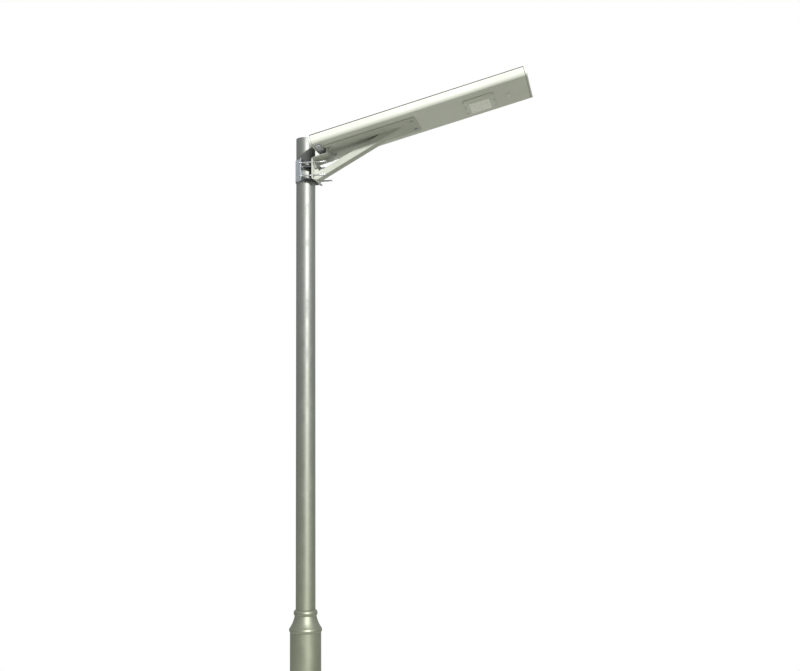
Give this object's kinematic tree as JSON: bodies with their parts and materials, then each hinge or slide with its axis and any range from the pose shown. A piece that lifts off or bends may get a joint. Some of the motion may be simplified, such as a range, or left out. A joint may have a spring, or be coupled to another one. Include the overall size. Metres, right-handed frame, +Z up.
{
  "type": "solar street lamp",
  "caption": "All-in-one solar street lamp: a tilted slim head with panel, battery and light engine, clamped by a strutted bracket to a stepped round steel pole.",
  "frame": {"origin": "centre of the base flange's underside, on the pole's axis", "axes": "+Z up along the pole, +X the way the lamp head reaches out, +Y across the head"},
  "size_m": [1.2055, 0.344, 3.2236],
  "materials": {
    "pole_paint": "satin powder coat on steel",
    "galvanised": "galvanised pressed steel",
    "zinc_fastener": "zinc plated",
    "bracket_paint": "satin pale powder coat on steel",
    "body_paint": "satin pale powder coat on extruded aluminium",
    "cap_metal": "satin pale powder coat on cast aluminium",
    "heatsink": "mill finish",
    "liner_rubber": "matt",
    "seal_rubber": "matt",
    "pv_glass": "clear low-iron glass",
    "pv_cell": "dark blue crystalline silicon under encapsulant",
    "pv_backsheet": "white film",
    "cover_plastic": "moulded grey plastic",
    "black_plastic": "moulded",
    "cell_wrap": "shrink sleeve",
    "nickel": "nickel strip",
    "circuit_board": "solder resist",
    "led_board": "white solder resist on aluminium",
    "led_chip": "phosphor",
    "clear_plastic": "clear moulded polycarbonate",
    "milky_plastic": "translucent polyethylene",
    "wire_sleeve": "smooth"
  },
  "bodies": {
    "pole": {"base_flange": "pole_paint", "base_ribs": "pole_paint", "lower_tube": "pole_paint", "upper_tube": "pole_paint", "centering_rings": "pole_paint", "transition_collar": "pole_paint", "collar_screws": "zinc_fastener", "pole_cap": "pole_paint"},
    "clamp_liner": {"clamp_liner": "liner_rubber"},
    "lamp_head": {"clamp_front_washers": "zinc_fastener", "clamp_nuts": "zinc_fastener", "clamp_front_plate": "bracket_paint", "clamp_cleats": "galvanised", "bracket_top_plate": "bracket_paint", "bracket_strut": "bracket_paint", "bracket_gussets": "bracket_paint", "bracket_bolts": "zinc_fastener", "bracket_washers": "zinc_fastener", "backing_bars": "heatsink", "body_shell": "body_paint", "end_cap_pole_side": "cap_metal", "end_cap_far_side": "cap_metal", "end_gasket_pole_side": "seal_rubber", "end_gasket_far_side": "seal_rubber", "end_cap_screws": "zinc_fastener", "pv_edge_seal": "seal_rubber", "pv_backsheet": "pv_backsheet", "pv_cells": "pv_cell", "pv_glass": "pv_glass", "pv_junction_box": "black_plastic", "battery_tray": "black_plastic", "battery_cells": "cell_wrap", "battery_links": "nickel", "battery_straps": "nickel", "battery_protection_board": "circuit_board", "controller_case": "heatsink", "controller_cover": "heatsink", "controller_board": "circuit_board", "led_heatsink": "heatsink", "led_board": "led_board", "led_chips": "led_chip", "led_optics": "clear_plastic", "led_lens": "milky_plastic", "led_gasket": "seal_rubber", "led_bezel": "body_paint", "led_bezel_screws": "zinc_fastener", "pir_housing": "cover_plastic", "pir_lens": "milky_plastic", "pir_board": "circuit_board", "service_cover": "cover_plastic", "service_cover_screws": "zinc_fastener", "switch_body": "black_plastic", "pv_lead": "wire_sleeve", "battery_lead": "wire_sleeve", "led_lead": "wire_sleeve", "sensor_lead": "wire_sleeve"},
    "rear_jaw": {"clamp_rear_saddle": "galvanised", "clamp_rods": "zinc_fastener", "clamp_rear_washers": "zinc_fastener"},
    "power_button": {"power_button": "black_plastic"}
  },
  "joints": [
    {"name": "clamp_height", "type": "slide", "parent": "pole", "child": "clamp_liner", "axis": [0, 0, 1], "range_m": [-1.9, 0.08]},
    {"name": "head_swivel", "type": "hinge", "parent": "clamp_liner", "child": "lamp_head", "pos_m": [0, 0, 2.85], "axis": [0, 0, 1], "continuous": true},
    {"name": "clamp_jaw", "type": "slide", "parent": "lamp_head", "child": "rear_jaw", "axis": [-1, 0, 0], "range_m": [0, 0.02]},
    {"name": "power_press", "type": "slide", "parent": "lamp_head", "child": "power_button", "axis": [-0.2504, 0, 0.9681], "range_m": [0, 0.0025], "stiffness_N_per_m": 1500, "springref_m": -0.001}
  ]
}
